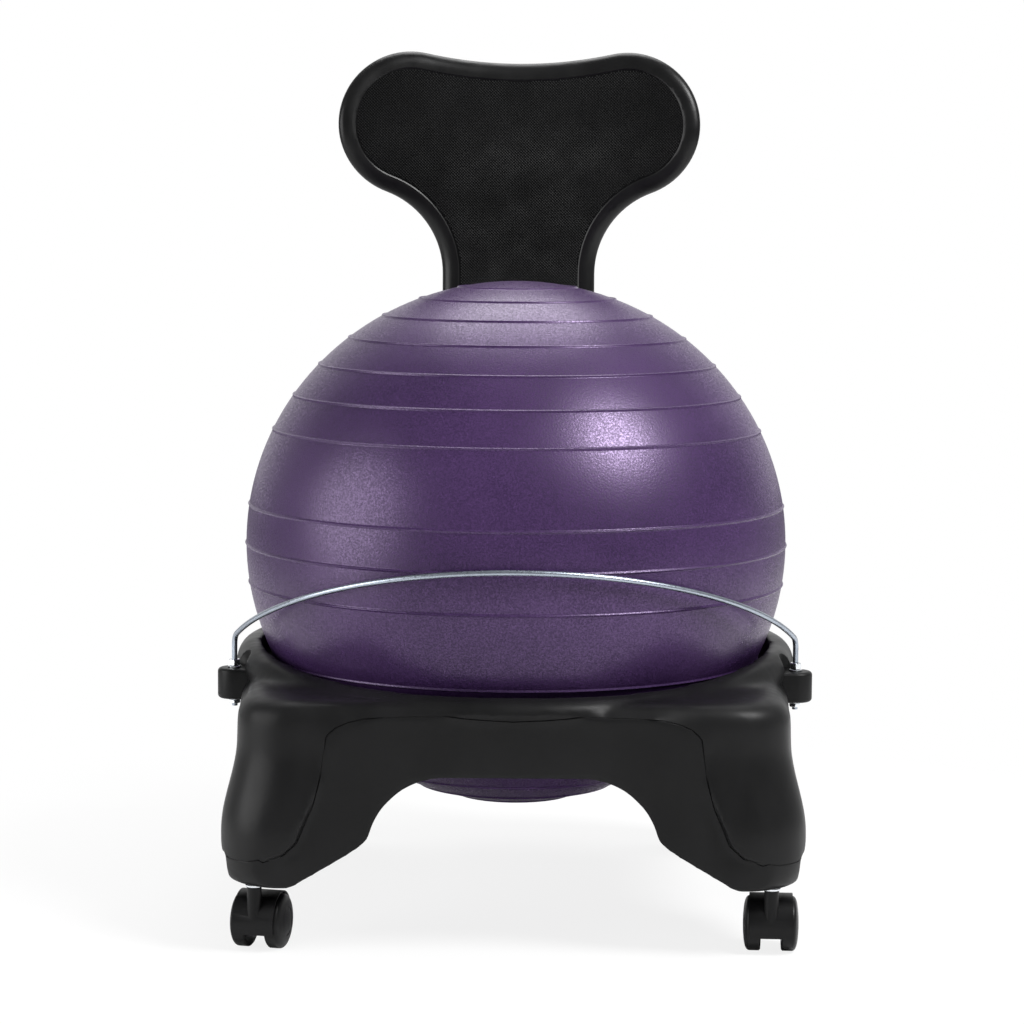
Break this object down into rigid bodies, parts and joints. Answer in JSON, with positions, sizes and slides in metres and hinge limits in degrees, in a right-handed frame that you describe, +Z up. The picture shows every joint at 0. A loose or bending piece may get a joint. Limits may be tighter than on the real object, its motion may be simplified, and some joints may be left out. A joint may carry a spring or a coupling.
{
  "type": "balance ball chair",
  "caption": "Active sitting chair: an inflated ball held in a moulded ring base on twin-wheel casters, with a back blade behind it and a bent retaining rod in front.",
  "frame": {"origin": "on the floor, under the middle of the chair's box", "axes": "+Z up; the sitter faces -Y, so the back blade is at +Y; +X is the right-hand side of a viewer in front of the chair"},
  "size_m": [0.5646, 0.5746, 0.8277],
  "materials": {
    "base_plastic": "satin black blow-moulded polyethylene with a fine grain",
    "blade_plastic": "matte black moulded plastic with a raised crosshatch field",
    "ball_vinyl": "pearly speckled purple vinyl with a soft sheen",
    "plug_plastic": "soft moulded plug",
    "zinc_steel": "zinc-plated steel rod and fasteners",
    "bright_steel": "bright plated steel",
    "caster_nylon": "satin black nylon",
    "sleeve_plastic": "dark grey acetal"
  },
  "bodies": {
    "frame": {"base_shell": "base_plastic", "backrest": "blade_plastic", "back_washer_left": "zinc_steel", "back_bolt_left": "zinc_steel", "back_washer_right": "zinc_steel", "back_bolt_right": "zinc_steel", "support_bar": "zinc_steel", "bar_upper_washer_left": "bright_steel", "bar_upper_nut_left": "bright_steel", "bar_lower_washer_left": "bright_steel", "bar_lower_nut_left": "bright_steel", "bar_upper_washer_right": "bright_steel", "bar_upper_nut_right": "bright_steel", "bar_lower_washer_right": "bright_steel", "bar_lower_nut_right": "bright_steel", "front_left_socket_sleeve": "sleeve_plastic", "front_right_socket_sleeve": "sleeve_plastic", "rear_left_socket_sleeve": "sleeve_plastic", "rear_right_socket_sleeve": "sleeve_plastic"},
    "ball": {"ball": "ball_vinyl", "ball_valve_plug": "plug_plastic"},
    "front_left_caster": {"front_left_stem": "bright_steel", "front_left_hood": "caster_nylon", "front_left_axle": "bright_steel"},
    "front_left_wheel_left": {"front_left_wheel_left": "caster_nylon"},
    "front_left_wheel_right": {"front_left_wheel_right": "caster_nylon"},
    "front_right_caster": {"front_right_stem": "bright_steel", "front_right_hood": "caster_nylon", "front_right_axle": "bright_steel"},
    "front_right_wheel_left": {"front_right_wheel_left": "caster_nylon"},
    "front_right_wheel_right": {"front_right_wheel_right": "caster_nylon"},
    "rear_left_caster": {"rear_left_stem": "bright_steel", "rear_left_hood": "caster_nylon", "rear_left_axle": "bright_steel", "rear_left_pedal_pin": "bright_steel"},
    "rear_left_wheel_left": {"rear_left_wheel_left": "caster_nylon"},
    "rear_left_wheel_right": {"rear_left_wheel_right": "caster_nylon"},
    "rear_left_pedal": {"rear_left_lock_pedal": "sleeve_plastic"},
    "rear_right_caster": {"rear_right_stem": "bright_steel", "rear_right_hood": "caster_nylon", "rear_right_axle": "bright_steel", "rear_right_pedal_pin": "bright_steel"},
    "rear_right_wheel_left": {"rear_right_wheel_left": "caster_nylon"},
    "rear_right_wheel_right": {"rear_right_wheel_right": "caster_nylon"},
    "rear_right_pedal": {"rear_right_lock_pedal": "sleeve_plastic"}
  },
  "joints": [
    {"name": "ball_lift", "type": "slide", "parent": "frame", "child": "ball", "axis": [0, 0, 1], "range_m": [0, 0.27]},
    {"name": "front_left_swivel", "type": "hinge", "parent": "frame", "child": "front_left_caster", "pos_m": [-0.234, -0.25216, 0.0588], "axis": [0, 0, 1], "continuous": true},
    {"name": "front_left_roll_left", "type": "hinge", "parent": "front_left_caster", "child": "front_left_wheel_left", "pos_m": [-0.22904, -0.23227, 0.025], "axis": [0.9703, -0.2419, 0], "continuous": true},
    {"name": "front_left_roll_right", "type": "hinge", "parent": "front_left_caster", "child": "front_left_wheel_right", "pos_m": [-0.22904, -0.23227, 0.025], "axis": [0.9703, -0.2419, 0], "continuous": true},
    {"name": "front_right_swivel", "type": "hinge", "parent": "frame", "child": "front_right_caster", "pos_m": [0.234, -0.25216, 0.0588], "axis": [0, 0, 1], "continuous": true},
    {"name": "front_right_roll_left", "type": "hinge", "parent": "front_right_caster", "child": "front_right_wheel_left", "pos_m": [0.23507, -0.23169, 0.025], "axis": [0.9986, -0.0523, 0], "continuous": true},
    {"name": "front_right_roll_right", "type": "hinge", "parent": "front_right_caster", "child": "front_right_wheel_right", "pos_m": [0.23507, -0.23169, 0.025], "axis": [0.9986, -0.0523, 0], "continuous": true},
    {"name": "rear_left_swivel", "type": "hinge", "parent": "frame", "child": "rear_left_caster", "pos_m": [-0.234, 0.21584, 0.0588], "axis": [0, 0, 1], "continuous": true},
    {"name": "rear_left_roll_left", "type": "hinge", "parent": "rear_left_caster", "child": "rear_left_wheel_left", "pos_m": [-0.23685, 0.23614, 0.025], "axis": [0.9903, 0.1392, 0], "continuous": true},
    {"name": "rear_left_roll_right", "type": "hinge", "parent": "rear_left_caster", "child": "rear_left_wheel_right", "pos_m": [-0.23685, 0.23614, 0.025], "axis": [0.9903, 0.1392, 0], "continuous": true},
    {"name": "rear_left_lock", "type": "hinge", "parent": "rear_left_caster", "child": "rear_left_pedal", "pos_m": [-0.23901, 0.25149, 0.05185], "axis": [0.9903, 0.1392, 0], "range_deg": [-10, 0]},
    {"name": "rear_right_swivel", "type": "hinge", "parent": "frame", "child": "rear_right_caster", "pos_m": [0.234, 0.21584, 0.0588], "axis": [0, 0, 1], "continuous": true},
    {"name": "rear_right_roll_left", "type": "hinge", "parent": "rear_right_caster", "child": "rear_right_wheel_left", "pos_m": [0.23614, 0.23622, 0.025], "axis": [0.9945, -0.1045, 0], "continuous": true},
    {"name": "rear_right_roll_right", "type": "hinge", "parent": "rear_right_caster", "child": "rear_right_wheel_right", "pos_m": [0.23614, 0.23622, 0.025], "axis": [0.9945, -0.1045, 0], "continuous": true},
    {"name": "rear_right_lock", "type": "hinge", "parent": "rear_right_caster", "child": "rear_right_pedal", "pos_m": [0.23776, 0.25164, 0.05185], "axis": [0.9945, -0.1045, 0], "range_deg": [-10, 0]}
  ]
}
